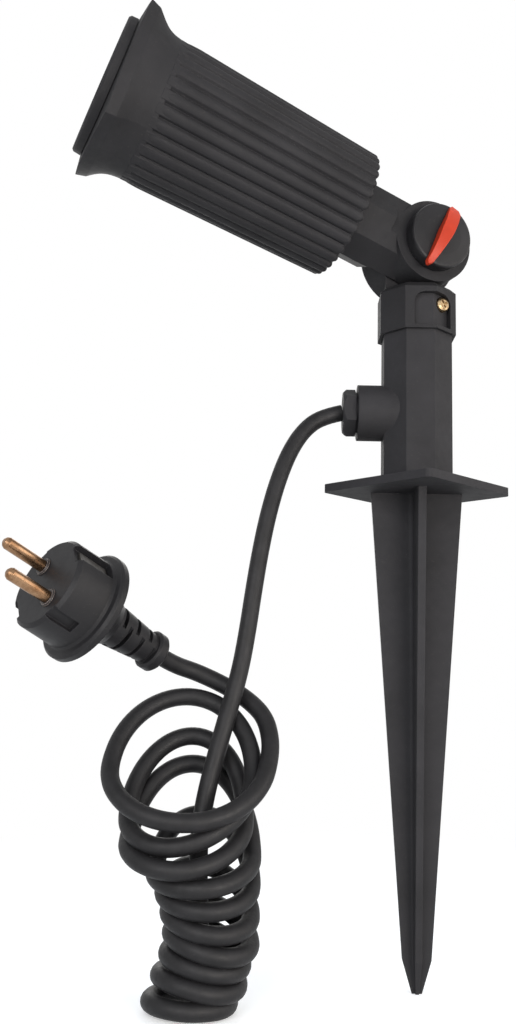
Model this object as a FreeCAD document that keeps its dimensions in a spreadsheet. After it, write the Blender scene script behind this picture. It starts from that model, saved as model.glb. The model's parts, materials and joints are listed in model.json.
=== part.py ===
"""Garden spike spotlight: a fluted lamp head on a lockable hinge over a hollow stem with a ground spike.

Millimetres, +Z up along the spike. The origin is the tip of the spike. The hinge pin lies along Y, with the
clamp knob on its -Y side, and the head leans towards -X.
"""

import FreeCAD, Part
import math
import os
import re
import Sketcher
from FreeCAD import Placement, Rotation, Vector

SIZES = {
    # Ground spike, plate and stem
    "spike_length": 200.0,
    "spike_span": 38.4,
    "spike_end_span": 11.5,
    "spike_point_length": 12.6,
    "spike_tip_width": 4.0,
    "fin_thickness": 3.3,
    "fin_end_thickness": 2.6,
    "fin_root_radius": 2.0,
    "plate_diagonal": 80.0,
    "plate_thickness": 3.4,
    "plate_corner_radius": 2.6,
    "stem_flats": 29.0,
    "spigot_set": 1.0,
    "stem_length": 69.0,
    "spigot_length": 17.4,
    "stem_wall": 3.7,
    "stem_floor": 4.0,
    "stem_turn": 22.5,
    # Cable gland on the stem
    "gland_rise": 35.0,
    "boss_diameter": 24.0,
    "boss_length": 11.0,
    "boss_bore": 17.2,
    "boss_bore_depth": 13.5,
    "nut_flats": 18.0,
    "nut_thickness": 5.4,
    "nut_gap": 0.8,
    "nut_spigot_length": 6.4,
    "seal_thickness": 5.2,
    "gland_washer_thickness": 1.0,
    "cord_diameter": 7.0,
    "cord_fit": 0.3,
    # Hinge socket on the stem
    "sleeve_overlap": 0.5,
    "sleeve_cap": 3.0,
    "sleeve_wall": 2.65,
    "shoulder_chamfer": 2.4,
    "window_width": 17.6,
    "window_height": 14.5,
    "window_sill": 1.6,
    "window_radius": 4.5,
    "screw_side": 5.2,
    "screw_rise": 12.3,
    "screw_head": 6.4,
    "screw_head_height": 2.3,
    "screw_shank": 3.4,
    "screw_length": 9.0,
    "screw_sink": 1.4,
    # Hinge
    "hinge_gap": 0.7,
    "head_tilt": 72.4,
    "ear_radius": 17.9,
    "far_ear_margin": 1.7,
    "ear_thickness": 15.0,
    "ear_gap": 0.5,
    "ear_rim": 4.2,
    "ear_chamber_depth": 9.0,
    "hub_radius": 5.4,
    "bolt_diameter": 6.0,
    "bolt_fit": 0.1,
    "bolt_head_flats": 10.0,
    "bolt_head_height": 4.2,
    "friction_ring_width": 2.2,
    "wire_hole": 7.0,
    # Clamp knob
    "knob_diameter": 28.2,
    "knob_thickness": 7.4,
    "knob_gap": 0.5,
    "knob_dome": 0.9,
    "insert_diameter": 9.0,
    "insert_length": 5.6,
    "grip_setback": 1.8,
    "grip_width": 5.8,
    "grip_end_width": 2.6,
    "grip_height": 4.2,
    "grip_overhang": 2.2,
    "grip_angle": 27.0,
    # Neck and lamp housing
    "neck_flats": 32.0,
    "neck_gap": 0.6,
    "neck_spigot": 24.0,
    "neck_spigot_length": 9.0,
    "neck_bore": 15.0,
    "barrel_back": 36.4,
    "barrel_length": 114.9,
    "back_radius": 27.2,
    "front_wall": 4.3,
    "back_rounding": 3.0,
    "flute_depth": 0.95,
    "flute_width": 2.0,
    "flute_count": 32,
    "flare_length": 22.0,
    "wall": 2.6,
    "back_wall": 3.6,
    "rim_point_reach": 8.1,
    "rim_waist_reach": 2.3,
    "rim_thickness": 4.2,
    "rim_setback": 5.3,
    "rim_slope": 1.3,
    "face_margin": 0.6,
    "mouth_depth": 9.0,
    "lamp_clearance": 0.6,
    "ring_overhang": 2.1,
    "ring_lip_cover": 1.6,
    "ring_clearance": 0.4,
    "ring_lip_thickness": 1.6,
    "ring_skirt": 1.0,
    "ring_skirt_length": 7.6,
    "ring_fit": 0.1,
    "glass_thickness": 2.2,
    "glass_clearance": 0.3,
    "gasket_thickness": 1.4,
    # Lamp and holder
    "lamp_radius": 24.6,
    "lamp_front_gap": 4.0,
    "lamp_depth": 34.0,
    "lamp_rim": 3.2,
    "lamp_wall": 1.4,
    "lamp_neck_radius": 9.0,
    "lamp_base_length": 12.0,
    "lamp_base_width": 17.0,
    "lamp_base_depth": 12.0,
    "lamp_pin_pitch": 10.0,
    "lamp_pin_length": 7.0,
    "lamp_pin_radius": 1.5,
    "lamp_button_radius": 2.5,
    "holder_radius": 13.0,
    "holder_length": 17.0,
    "bracket_width": 12.0,
    "bracket_sheet": 1.2,
    "bracket_clearance": 1.8,
    "bracket_foot": 7.0,
    "lock_nut_width": 4.2,
    "lock_nut_height": 5.0,
    "wire_radius": 1.1,
    "wire_pitch": 5.6,
    # Terminal block in the stem
    "block_length": 15.0,
    "block_width": 10.0,
    "block_height": 13.0,
    "block_gap": 15.0,
    # Supply cord coil
    "turn_radius": 18.0,
    # Mains plug
    "plug_face_radius": 18.5,
    "plug_body_length": 19.6,
    "plug_flange_width": 3.5,
    "plug_flange_thickness": 4.5,
    "plug_shoulder_length": 9.0,
    "plug_pin_diameter": 4.8,
    "plug_shank_diameter": 4.0,
    "plug_pin_length": 19.0,
    "plug_pin_pitch": 19.0,
    "plug_collar_radius": 3.6,
    "plug_earth_width": 9.0,
    "plug_earth_depth": 3.4,
    "plug_notch_width": 5.0,
    "plug_notch_depth": 2.4,
    "clip_thickness": 1.0,
    "clip_width": 5.0,
    "boot_length": 26.7,
    "boot_width": 5.1,
    "boot_end_width": 2.7,
    "boot_collar_width": 4.4,
    "boot_collar_length": 5.0,
    "boot_slots": 6,
    "boot_slot_share": 0.5,
    "boot_core_width": 1.4,
    "plug_heading": 202.2,
    "plug_rise": 24.6,
    "plug_roll": 43.9,
}

# Heights and widths that follow from the sizes above
FOLLOWING = {
    "gland_height": "spike_length + gland_rise",
    "spigot_step": "spike_length + stem_length",
    "spigot_top": "spigot_step + spigot_length",
    "spigot_flats": "stem_flats - 2 * spigot_set",
    "stem_bore": "stem_flats - 2 * stem_wall",
    "boss_reach": "stem_flats / 2 + boss_length",
    "block_lift": "gland_height + block_gap",
    "sleeve_foot": "spigot_step - sleeve_overlap",
    "sleeve_top": "spigot_top + sleeve_cap",
    "sleeve_flats": "spigot_flats + 2 * sleeve_wall",
    "screw_height": "sleeve_foot + screw_rise",
    "screw_spot_depth": "spigot_flats / 2 - screw_sink",
    "pivot_height": "sleeve_top + hinge_gap + ear_radius",
    "far_ear_radius": "ear_radius + far_ear_margin",
    "neck_start": "far_ear_radius + neck_gap",
    "grip_length": "knob_diameter + 2 * grip_overhang - grip_setback",
    "mouth_radius": "lamp_radius + ring_clearance + ring_skirt + ring_fit",
    "inner_radius": "lamp_radius + lamp_clearance",
    "front_radius": "inner_radius + front_wall",
    "flute_front": "barrel_back + barrel_length - flare_length",
    "rim_radius": "front_radius + rim_point_reach",
    "rim_waist": "front_radius + rim_waist_reach",
    "ring_radius": "mouth_radius + ring_overhang",
    "ring_lip": "lamp_radius - ring_lip_cover",
    "face_radius": "ring_radius + face_margin",
    "lock_nut_radius": "neck_spigot / 2 + lock_nut_width",
    "bracket_span": "2 * (lock_nut_radius + bracket_clearance)",
    "plug_flange_radius": "plug_face_radius + plug_flange_width",
    "boot_radius": "cord_diameter / 2 + boot_width",
    "boot_end_radius": "cord_diameter / 2 + boot_end_width",
    "boot_collar_radius": "cord_diameter / 2 + boot_collar_width",
    "boot_core_radius": "cord_diameter / 2 + boot_core_width",
}

doc = FreeCAD.newDocument("garden_spike_spotlight")
sheet = doc.addObject("Spreadsheet::Sheet", "Sizes")
NAMED = list(SIZES) + list(FOLLOWING)
for row, alias in enumerate(NAMED, 1):
    sheet.set("A%d" % row, alias)
    sheet.set("B%d" % row, "=%s" % FOLLOWING[alias] if alias in FOLLOWING else str(SIZES[alias]))
    sheet.setAlias("B%d" % row, alias)
doc.recompute()

WORD = re.compile(r"[a-z][a-z0-9_]*")
NODES = []


def sized(text):
    """Writes the sheet's name before each size that an expression uses."""
    return WORD.sub(lambda word: "Sizes." + word.group(0) if word.group(0) in NAMED else word.group(0), str(text))


def value(text):
    """The number that an expression of sizes gives now."""
    return float(sheet.evalExpression(sized(text)))


def bind(item, **properties):
    """Ties an object's properties to expressions of sizes."""
    for name, text in properties.items():
        item.setExpression(name, sized(text))
    return item


def place(item, x="0", y="0", z="0", turn=None):
    """Puts an object at a place made of sizes; turn is a fixed rotation."""
    if turn is not None:
        item.Placement.Rotation = turn
    for axis, text in (("x", x), ("y", y), ("z", z)):
        item.setExpression("Placement.Base." + axis, sized(text))
    return item


def lean(item, axis, angle, z="0"):
    """Turns an object about an axis by an angle from the sheet and lifts it."""
    item.Placement.Rotation = Rotation(axis, 1)
    item.setExpression("Placement.Rotation.Angle", sized(angle))
    item.setExpression("Placement.Base.z", sized(z))
    return item


ALONG_X = Rotation(Vector(0, 1, 0), 90)
ALONG_Y = Rotation(Vector(1, 0, 0), -90)
AGAINST_Y = Rotation(Vector(1, 0, 0), 90)
AGAINST_X = Rotation(Vector(0, 1, 0), -90)


def cylinder(name, radius, height, **where):
    item = bind(doc.addObject("Part::Cylinder", name), Radius=radius, Height=height)
    return place(item, **where)


def box(name, length, width, height, **where):
    item = bind(doc.addObject("Part::Box", name), Length=length, Width=width, Height=height)
    return place(item, **where)


def octagon(name, flats, height, **where):
    """An eight-sided prism with its corners on the X and Y axes."""
    return prism(name, 8, flats, height, **where)


def prism(name, sides, flats, height, **where):
    item = doc.addObject("Part::Prism", name)
    item.Polygon = sides
    bind(item, Circumradius="(%s) / 2 / cos(180 / %d)" % (flats, sides), Height=height)
    return place(item, **where)


def fuse(name, *items):
    result = doc.addObject("Part::MultiFuse", name)
    result.Shapes = list(items)
    result.Refine = True
    return result


def cut(name, base, *tools):
    result = doc.addObject("Part::Cut", name)
    result.Base = base
    result.Tool = tools[0] if len(tools) == 1 else fuse(name + "_cutters", *tools)
    result.Refine = True
    return result


def common(name, *items):
    result = doc.addObject("Part::MultiCommon", name)
    result.Shapes = list(items)
    result.Refine = True
    return result


def group(name, items):
    result = doc.addObject("Part::Compound", name)
    result.Links = items
    return result


def edges_where(shape, test):
    """The names' numbers of a shape's edges whose middle passes a test."""
    found = []
    for number, edge in enumerate(shape.Edges, 1):
        middle = edge.valueAt((edge.FirstParameter + edge.LastParameter) / 2)
        if test(middle, edge):
            found.append(number)
    return found


def rounded(name, base, size, test, kind="Part::Fillet"):
    """Fillets or chamfers the edges of an object that pass a test."""
    doc.recompute()
    result = doc.addObject(kind, name)
    result.Base = base
    amount = value(size)
    result.Edges = [(number, amount, amount) for number in edges_where(base.Shape, test)]
    return result


def plane_of(body, role):
    return [item for item in body.Origin.OriginFeatures if item.Role == role][0]


def outline(body, name, corners, role="XZ_Plane"):
    """A closed sketch of straight lines whose corners are expressions of sizes."""
    sketch = body.newObject("Sketcher::SketchObject", name)
    sketch.AttachmentSupport = [(plane_of(body, role), "")]
    sketch.MapMode = "FlatFace"
    points = [Vector(value(x), value(y), 0) for x, y in corners]
    count = len(points)
    for index in range(count):
        sketch.addGeometry(Part.LineSegment(points[index], points[(index + 1) % count]), False)
    for index in range(count):
        sketch.addConstraint(Sketcher.Constraint("Coincident", index, 2, (index + 1) % count, 1))
    for index, corner in enumerate(corners):
        for kind, text, axis in (("DistanceX", corner[0], -2), ("DistanceY", corner[1], -1)):
            if text == "0":
                sketch.addConstraint(Sketcher.Constraint("PointOnObject", index, 1, axis))
                continue
            number = sketch.addConstraint(Sketcher.Constraint(kind, -1, 1, index, 1, value(text)))
            sketch.setExpression("Constraints[%d]" % number, sized(text))
    return sketch


def turned(name, corners, angle=360):
    """A solid turned about its Z axis from an outline of (radius, height) corners."""
    body = doc.addObject("PartDesign::Body", name)
    sketch = outline(body, name + "_outline", corners)
    revolution = body.newObject("PartDesign::Revolution", name + "_turning")
    revolution.Profile = sketch
    revolution.ReferenceAxis = (sketch, ["V_Axis"])
    revolution.Angle = angle
    return body


def extruded(name, corners, length, role="XY_Plane", middle=False):
    """A solid pushed out of a flat outline."""
    body = doc.addObject("PartDesign::Body", name)
    sketch = outline(body, name + "_outline", corners, role)
    pad = body.newObject("PartDesign::Pad", name + "_pad")
    pad.Profile = sketch
    pad.Midplane = middle
    bind(pad, Length=length)
    return body


def formed(name, shape):
    """A piece whose shape is made with the shape functions."""
    item = doc.addObject("Part::Feature", name)
    item.Shape = shape
    return item


def node(name, item):
    """Names an object as one of the assembly's pieces."""
    item.Label = name
    NODES.append(item)
    return item


def on_stem(item):
    """Turns a piece of the stem so that the gland points down and left of the hinge."""
    return lean(item, Vector(0, 0, 1), "-stem_turn")


def on_head(item):
    """Leans a piece of the head about the hinge."""
    return lean(item, Vector(0, 1, 0), "-head_tilt", "pivot_height")


# ---------------------------------------------------------------- ground spike, plate and stem


def cross_wire(span, thickness, root, height):
    """The outline of four fins, with rounded roots, at one height."""
    half, edge = span / 2, thickness / 2
    start = edge + root
    sag = root * (1 - math.sqrt(0.5))
    edges = []
    for quarter in range(4):
        turn = Rotation(Vector(0, 0, 1), 90 * quarter)
        corners = [Vector(half, -edge, height), Vector(half, edge, height), Vector(start, edge, height),
                   Vector(edge + sag, edge + sag, height), Vector(edge, start, height),
                   Vector(edge, half, height)]
        tip_low, tip_high, arc_from, arc_middle, arc_to, next_tip = [turn.multVec(corner) for corner in corners]
        edges.append(Part.LineSegment(tip_low, tip_high).toShape())
        edges.append(Part.LineSegment(tip_high, arc_from).toShape())
        edges.append(Part.Arc(arc_from, arc_middle, arc_to).toShape())
        edges.append(Part.LineSegment(arc_to, next_tip).toShape())
    return Part.Wire(edges)


def fins():
    top = cross_wire(value("spike_span"), value("fin_thickness"), value("fin_root_radius"), value("spike_length"))
    low = cross_wire(value("spike_end_span"), value("fin_end_thickness"), value("fin_root_radius") / 2,
                     value("spike_point_length"))
    tip = cross_wire(value("spike_tip_width"), value("fin_end_thickness") / 2, value("fin_root_radius") / 8, 0)
    shaft = Part.makeLoft([low, top], True, True)
    point = Part.makeLoft([tip, low], True, True)
    return shaft.fuse(point).removeSplitter()


spike_fins = formed("spike_fins", fins())
plate_square = prism("plate_square", 4, "plate_diagonal * cos(45)", "plate_thickness", z="spike_length")
plate = rounded("plate", plate_square, "plate_corner_radius",
                lambda middle, edge: abs(edge.tangentAt(edge.FirstParameter).z) > 0.9)
plate_top = "spike_length + plate_thickness"
HALF_SIDE = Rotation(Vector(0, 0, 1), 22.5)
stem_outside = octagon("stem_outside", "stem_flats", "spigot_step - (%s)" % plate_top, z=plate_top,
                       turn=HALF_SIDE)
spigot = octagon("spigot", "spigot_flats", "spigot_top - spigot_step", z="spigot_step", turn=HALF_SIDE)
boss = cylinder("boss", "boss_diameter / 2", "boss_reach", z="gland_height", turn=AGAINST_X)
stem_hollow = cylinder("stem_hollow", "stem_bore / 2", "spigot_top - spike_length", z="spike_length + stem_floor")
boss_hollow = cylinder("boss_hollow", "boss_bore / 2", "boss_bore_depth + 1", x="-boss_reach + boss_bore_depth",
                       z="gland_height", turn=AGAINST_X)
cord_hole = cylinder("cord_hole", "cord_diameter / 2 + cord_fit", "boss_reach", z="gland_height", turn=AGAINST_X)


def screw_space(name, radius, depth, length):
    """A round space along the hinge's direction, seen from the turned stem."""
    return cylinder(name, radius, length,
                    x="screw_side * cos(stem_turn) + (%s) * sin(stem_turn)" % depth,
                    y="screw_side * sin(stem_turn) - (%s) * cos(stem_turn)" % depth,
                    z="screw_height", turn=Rotation(Vector(0, 0, 1), SIZES["stem_turn"]).multiply(AGAINST_Y))


screw_spot = screw_space("screw_spot", "screw_head / 2 + 0.3", "screw_spot_depth", "6")
screw_hole = screw_space("screw_hole", "screw_shank / 2", "screw_spot_depth - screw_length", "screw_length + 1")
stem_body = fuse("stem_body", spike_fins, plate, stem_outside, spigot, boss)
node("ground_spike", on_stem(cut("ground_spike", stem_body, stem_hollow, boss_hollow, cord_hole, screw_spot,
                                 screw_hole)))

# ---------------------------------------------------------------- cable gland


def along_gland(name, corners):
    """A turned gland piece; its Z axis points out of the boss."""
    body = turned(name + "_form", corners)
    place(body, z="gland_height", turn=AGAINST_X)
    return group(name, [body])


cord_radius = "cord_diameter / 2"
bore_floor = "boss_reach - boss_bore_depth"
seal_start = bore_floor + " + 0.1"
seal_end = "(%s) + seal_thickness" % seal_start
gland_bore_radius = "boss_bore / 2 - 0.1"
node("gland_seal", on_stem(along_gland("gland_seal", [
    (cord_radius + " + 0.05", seal_start), (gland_bore_radius, seal_start),
    (gland_bore_radius, seal_end + " - 1.5"), (gland_bore_radius + " - 1.5", seal_end),
    (cord_radius + " + 0.05", seal_end)])))
washer_start = seal_end + " + 0.05"
washer_end = "(%s) + gland_washer_thickness" % washer_start
node("gland_washer", on_stem(along_gland("gland_washer", [
    (cord_radius + " + cord_fit", washer_start), (gland_bore_radius, washer_start),
    (gland_bore_radius, washer_end), (cord_radius + " + cord_fit", washer_end)])))
nut_start = "boss_reach + nut_gap"
nut_end = nut_start + " + nut_thickness"
nut_hexagon = prism("nut_hexagon", 6, "nut_flats", "nut_thickness", x="-(%s)" % nut_start, z="gland_height",
                    turn=AGAINST_X)
nut_dome = along_gland("nut_dome", [
    ("0", nut_start), ("nut_flats / 2 / cos(30)", nut_start), ("nut_flats / 2 / cos(30)", nut_end + " - 1.6"),
    ("nut_flats / 2 - 0.3", nut_end), ("0", nut_end)])
nut_spigot = cylinder("nut_spigot", gland_bore_radius, "nut_spigot_length",
                      x="-(%s) + nut_spigot_length - 0.01" % nut_start,
                      z="gland_height", turn=AGAINST_X)
nut_hole = cylinder("nut_hole", cord_radius + " + cord_fit", "boss_reach + 20", z="gland_height", turn=AGAINST_X)
nut_solid = fuse("nut_solid", common("nut_head", nut_hexagon, nut_dome), nut_spigot)
node("gland_nut", on_stem(cut("gland_nut", nut_solid, nut_hole)))

# ---------------------------------------------------------------- terminal block and wires in the stem
block = box("block", "block_length", "block_width", "block_height", x="-block_length / 2", y="-block_width / 2",
            z="block_lift")
block_ways = [cylinder("block_way_%d" % way, "wire_radius + 0.4", "block_height + 2",
                       x="%d * wire_pitch * 0.8" % way, z="block_lift - 1") for way in (-1, 0, 1)]
node("terminal_block", on_stem(cut("terminal_block", block, *block_ways)))


def wires(name, bottom, top, places):
    """Straight wires, each a separate solid."""
    return [cylinder("%s_%d" % (name, index), "wire_radius", "(%s) - (%s)" % (top, bottom), x=x, y=y, z=bottom)
            for index, (x, y) in enumerate(places)]


stem_wire_places = [("%d * wire_pitch * 0.8" % way, "0") for way in (-1, 0, 1)]
stem_wire_bottom = "gland_height + cord_diameter / 2 + 0.3"
stem_wire_top = "block_lift + block_height * 0.45"
node("stem_wires", on_stem(group("stem_wires", wires(
    "stem_wire", stem_wire_bottom, stem_wire_top, stem_wire_places))))
inner_cord = cylinder("inner_cord", cord_radius, "%s + 3" % nut_end, x="3", z="gland_height", turn=AGAINST_X)
node("cord_tail", on_stem(group("cord_tail", [inner_cord])))

# ---------------------------------------------------------------- hinge socket over the stem
sleeve_height = "sleeve_top - sleeve_foot"
sleeve_block = octagon("sleeve_block", "sleeve_flats", sleeve_height, z="sleeve_foot")
sleeve = rounded("sleeve", sleeve_block, "shoulder_chamfer",
                 lambda middle, edge: abs(middle.z - value("sleeve_top")) < 0.01, "Part::Chamfer")
far_ear = cylinder("far_ear", "far_ear_radius", "ear_thickness - ear_gap", y="ear_gap", z="pivot_height",
                   turn=ALONG_Y)
web_height = "pivot_height - sleeve_top + shoulder_chamfer"
ear_web = common("ear_web", octagon("web_block", "sleeve_flats - 2 * shoulder_chamfer", web_height,
                                    z="sleeve_top - shoulder_chamfer"),
                 box("web_side", "sleeve_flats * 2", "ear_thickness - ear_gap", web_height, x="-sleeve_flats",
                     y="ear_gap", z="sleeve_top - shoulder_chamfer"))
sleeve_bore = octagon("sleeve_bore", "spigot_flats + 0.3", "spigot_top + 0.3 - sleeve_foot", z="sleeve_foot")
sleeve_skirt = octagon("sleeve_skirt", "stem_flats + 0.3", "spigot_step + 0.3 - sleeve_foot",
                       z="sleeve_foot - 0.01")
window_z = "sleeve_foot + window_sill"
window = rounded("window", box("window_block", "window_width", "sleeve_flats", "window_height",
                               x="-window_width / 2", y="-sleeve_flats - 6", z=window_z), "window_radius",
                 lambda middle, edge: abs(edge.tangentAt(edge.FirstParameter).y) > 0.9
                 and middle.z > value(window_z) + 1)


def ear_chamber(name, start, depth):
    """The round chamber in an ear's inner face, with the hub left standing in it."""
    space = cylinder(name + "_space", "ear_radius - ear_rim", depth, y=start, turn=ALONG_Y)
    hub = cylinder(name + "_hub", "hub_radius", depth, y=start, turn=ALONG_Y)
    return cut(name, space, hub)


socket_chamber = place(ear_chamber("socket_chamber", "ear_gap - 0.01", "ear_chamber_depth"), z="pivot_height")
seal_groove_outer = cylinder("seal_groove_outer", "ear_radius - 0.9", "1.5", y="ear_gap - 0.01", z="pivot_height",
                             turn=ALONG_Y)
seal_groove_inner = cylinder("seal_groove_inner", "ear_radius - 0.9 - friction_ring_width - 0.2", "1.5",
                             y="ear_gap - 0.01", z="pivot_height", turn=ALONG_Y)
seal_groove = cut("seal_groove", seal_groove_outer, seal_groove_inner)
bolt_hole = cylinder("bolt_hole", "bolt_diameter / 2 + bolt_fit", "ear_thickness * 2", y="0", z="pivot_height",
                     turn=ALONG_Y)
bolt_pocket = prism("bolt_pocket", 6, "bolt_head_flats + 0.2", "bolt_head_height + 1",
                    y="ear_thickness - bolt_head_height", z="pivot_height", turn=ALONG_Y)
socket_wire_hole = cylinder("socket_wire_hole", "wire_hole / 2", "pivot_height - sleeve_top + 3 - 6",
                            y="ear_gap + 4.4", z="spigot_top - 0.5")
socket_solid = fuse("socket_solid", sleeve, far_ear, ear_web)
node("joint_socket", cut("joint_socket", socket_solid, sleeve_bore, sleeve_skirt, window, socket_chamber,
                         seal_groove, bolt_hole, bolt_pocket, socket_wire_hole))
friction_ring_tube = turned("friction_ring_tube", [
    ("ear_radius - 1 - friction_ring_width", "0"), ("ear_radius - 1", "0"), ("ear_radius - 1", "1.95"),
    ("ear_radius - 1 - friction_ring_width", "1.95")])
place(friction_ring_tube, y="0", z="pivot_height", turn=ALONG_Y)
node("hinge_seal", friction_ring_tube)

# ---------------------------------------------------------------- screw that holds the socket on the stem
screw_head_round = turned("screw_head_round", [
    ("0", "0"), ("screw_head / 2", "0"), ("screw_head / 2", "screw_head_height * 0.4"),
    ("screw_head / 2 - 0.5", "screw_head_height * 0.8"), ("screw_head / 2 - 1.4", "screw_head_height"),
    ("0", "screw_head_height")])
screw_core = cylinder("screw_core", "screw_shank / 2 - 0.05", "screw_length", z="-screw_length + 0.01")
cross_bars = [box("cross_bar_%d" % side, "0.9" if side else "3.6", "3.6" if side else "0.9", "2",
                  x="-0.45" if side else "-1.8", y="-1.8" if side else "-0.45", z="screw_head_height - 1.1")
              for side in (0, 1)]
screw_blank = cut("screw_blank", fuse("screw_solid", screw_head_round, screw_core), *cross_bars)
place(screw_blank, x="screw_side", y="-screw_spot_depth - 0.02", z="screw_height",
      turn=AGAINST_Y.multiply(Rotation(Vector(0, 0, 1), 25)))
node("socket_screw", screw_blank)

# ---------------------------------------------------------------- clamp bolt and knob
bolt_end = "ear_thickness + knob_gap + knob_thickness - 2"
bolt_shank = cylinder("bolt_shank", "bolt_diameter / 2", "ear_thickness + (%s) - 1" % bolt_end,
                      y="-(%s)" % bolt_end, turn=ALONG_Y)
bolt_head = prism("bolt_head", 6, "bolt_head_flats", "bolt_head_height - 0.3",
                  y="ear_thickness - bolt_head_height + 0.05", turn=ALONG_Y)
clamp_bolt = place(fuse("clamp_bolt", bolt_shank, bolt_head), z="pivot_height")
node("clamp_bolt", clamp_bolt)


knob_radius = "knob_diameter / 2"
knob_round = turned("knob_round", [
    ("0", "0"), (knob_radius + " - 0.7", "0"), (knob_radius + " - 0.35", "0.4"),
    (knob_radius, "knob_thickness - 1.7"), (knob_radius + " - 0.35", "knob_thickness - 1"),
    (knob_radius + " - 1.1", "knob_thickness - 0.75"),
    (knob_radius + " * 0.62", "knob_thickness - 0.25 * knob_dome"), (knob_radius + " * 0.3", "knob_thickness"),
    ("0", "knob_thickness")])
knob_bore = cylinder("knob_bore", "insert_diameter / 2", "insert_length", z="-0.01")
grip_slot_depth = "knob_thickness - 1.6"


def grip_corners(spare):
    """Half the grip's plan: a long wedge with blunt ends."""
    top = "grip_length - knob_diameter / 2 - grip_overhang"
    return [("-grip_width / 2 * 0.62 - (%s)" % spare, top), ("grip_width / 2 * 0.62 + (%s)" % spare, top),
            ("grip_width / 2 + (%s)" % spare, "(%s) - 2.2" % top), ("grip_width / 2 * 0.97 + (%s)" % spare, "0"),
            ("grip_end_width / 2 + (%s)" % spare, "-knob_diameter / 2 - grip_overhang + 1.2"),
            ("grip_end_width / 2 - 0.9 + (%s)" % spare, "-knob_diameter / 2 - grip_overhang"),
            ("-grip_end_width / 2 + 0.9 - (%s)" % spare, "-knob_diameter / 2 - grip_overhang"),
            ("-grip_end_width / 2 - (%s)" % spare, "-knob_diameter / 2 - grip_overhang + 1.2"),
            ("-grip_width / 2 * 0.97 - (%s)" % spare, "0"),
            ("-grip_width / 2 - (%s)" % spare, "(%s) - 2.2" % top)]


grip_blank = extruded("grip_blank", grip_corners("0"), "1.6 + grip_height")
place(grip_blank, z=grip_slot_depth)
grip_crest = cylinder("grip_crest", "grip_length * 0.95", "grip_width * 2", x="-grip_width",
                      y="-2.2", z="knob_thickness + grip_height - grip_length * 0.95", turn=ALONG_X)
grip_form = common("grip_form", grip_blank, grip_crest)
slot_cutter = extruded("slot_cutter", grip_corners("0.05"), "4")
place(slot_cutter, z=grip_slot_depth + " - 0.03")
knob_solid = cut("knob_solid", knob_round, knob_bore, slot_cutter)


def on_knob(item):
    """Puts a knob piece on the hinge, turned to the grip's angle."""
    turn = AGAINST_Y.multiply(Rotation(Vector(0, 0, 1), -value("grip_angle")))
    return place(item, y="-ear_thickness - knob_gap", z="pivot_height", turn=turn)


node("clamp_knob", on_knob(knob_solid))
node("knob_grip", on_knob(grip_form))
insert_ring = turned("insert_ring", [
    ("bolt_diameter / 2 + bolt_fit", "0"), ("insert_diameter / 2 - 0.05", "0"),
    ("insert_diameter / 2 - 0.05", "insert_length - 0.05"),
    ("bolt_diameter / 2 + bolt_fit", "insert_length - 0.05")])
node("knob_insert", on_knob(insert_ring))

# ---------------------------------------------------------------- neck with the head's ear
near_ear = cylinder("near_ear", "ear_radius", "ear_thickness - ear_gap", y="-ear_thickness", turn=ALONG_Y)
neck_column = octagon("neck_column", "neck_flats", "barrel_back - neck_start - 0.02", z="neck_start")
ear_bridge = common("ear_bridge", octagon("bridge_block", "neck_flats", "neck_start + 0.02"),
                    box("bridge_side", "neck_flats * 2", "ear_thickness - ear_gap", "neck_start + 0.02",
                        x="-neck_flats", y="-ear_thickness"))
neck_spigot_part = cylinder("neck_spigot_part", "neck_spigot / 2", "neck_spigot_length + 1", z="barrel_back - 1")
head_chamber = ear_chamber("head_chamber", "-ear_gap - ear_chamber_depth + 0.01", "ear_chamber_depth")
neck_hollow = cylinder("neck_hollow", "neck_bore / 2", "barrel_back - neck_start + neck_spigot_length",
                       z="neck_start + 5")
neck_wire_hole = cylinder("neck_wire_hole", "wire_hole / 2", "neck_start", y="-ear_gap - 4.4", z="8.5")
head_bolt_hole = cylinder("head_bolt_hole", "bolt_diameter / 2 + bolt_fit", "ear_thickness * 2",
                          y="-ear_thickness * 1.5", turn=ALONG_Y)
node("housing_neck", on_head(cut("housing_neck",
                                 fuse("neck_solid", near_ear, ear_bridge, neck_column, neck_spigot_part),
                                 head_chamber, neck_hollow, neck_wire_hole, head_bolt_hole)))
lock_nut_round = cylinder("lock_nut_round", "lock_nut_radius", "lock_nut_height", z="barrel_back + back_wall")
lock_nut_hole = cylinder("lock_nut_hole", "neck_spigot / 2 + 0.05", "lock_nut_height + 2",
                         z="barrel_back + back_wall - 1")
lock_nut_slots = [box("lock_nut_slot_%d" % side, "4", "5", "lock_nut_height",
                      x="lock_nut_radius - 2.4" if side else "-lock_nut_radius - 1.6", y="-2.5",
                      z="barrel_back + back_wall + 1.2") for side in (0, 1)]
node("neck_lock_nut", on_head(cut("neck_lock_nut", lock_nut_round, lock_nut_hole, *lock_nut_slots)))

# ---------------------------------------------------------------- fluted lamp housing


def round_barrel(back_radius, front_radius, back, front):
    """A slightly opening round barrel with a rounded back edge."""
    curve = value("back_rounding")
    slant = curve * (1 - math.sqrt(0.5))
    edge_start, edge_end = Vector(back_radius - curve, 0, back), Vector(back_radius, 0, back + curve)
    corner = Part.Arc(edge_start, Vector(back_radius - slant, 0, back + slant), edge_end)
    outline_edges = [Part.LineSegment(Vector(0, 0, back), edge_start), corner,
                     Part.LineSegment(edge_end, Vector(front_radius, 0, front)),
                     Part.LineSegment(Vector(front_radius, 0, front), Vector(0, 0, front)),
                     Part.LineSegment(Vector(0, 0, front), Vector(0, 0, back))]
    profile = Part.Face(Part.Wire([edge.toShape() for edge in outline_edges]))
    return profile.revolve(Vector(0, 0, 0), Vector(0, 0, 1), 360)


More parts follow.
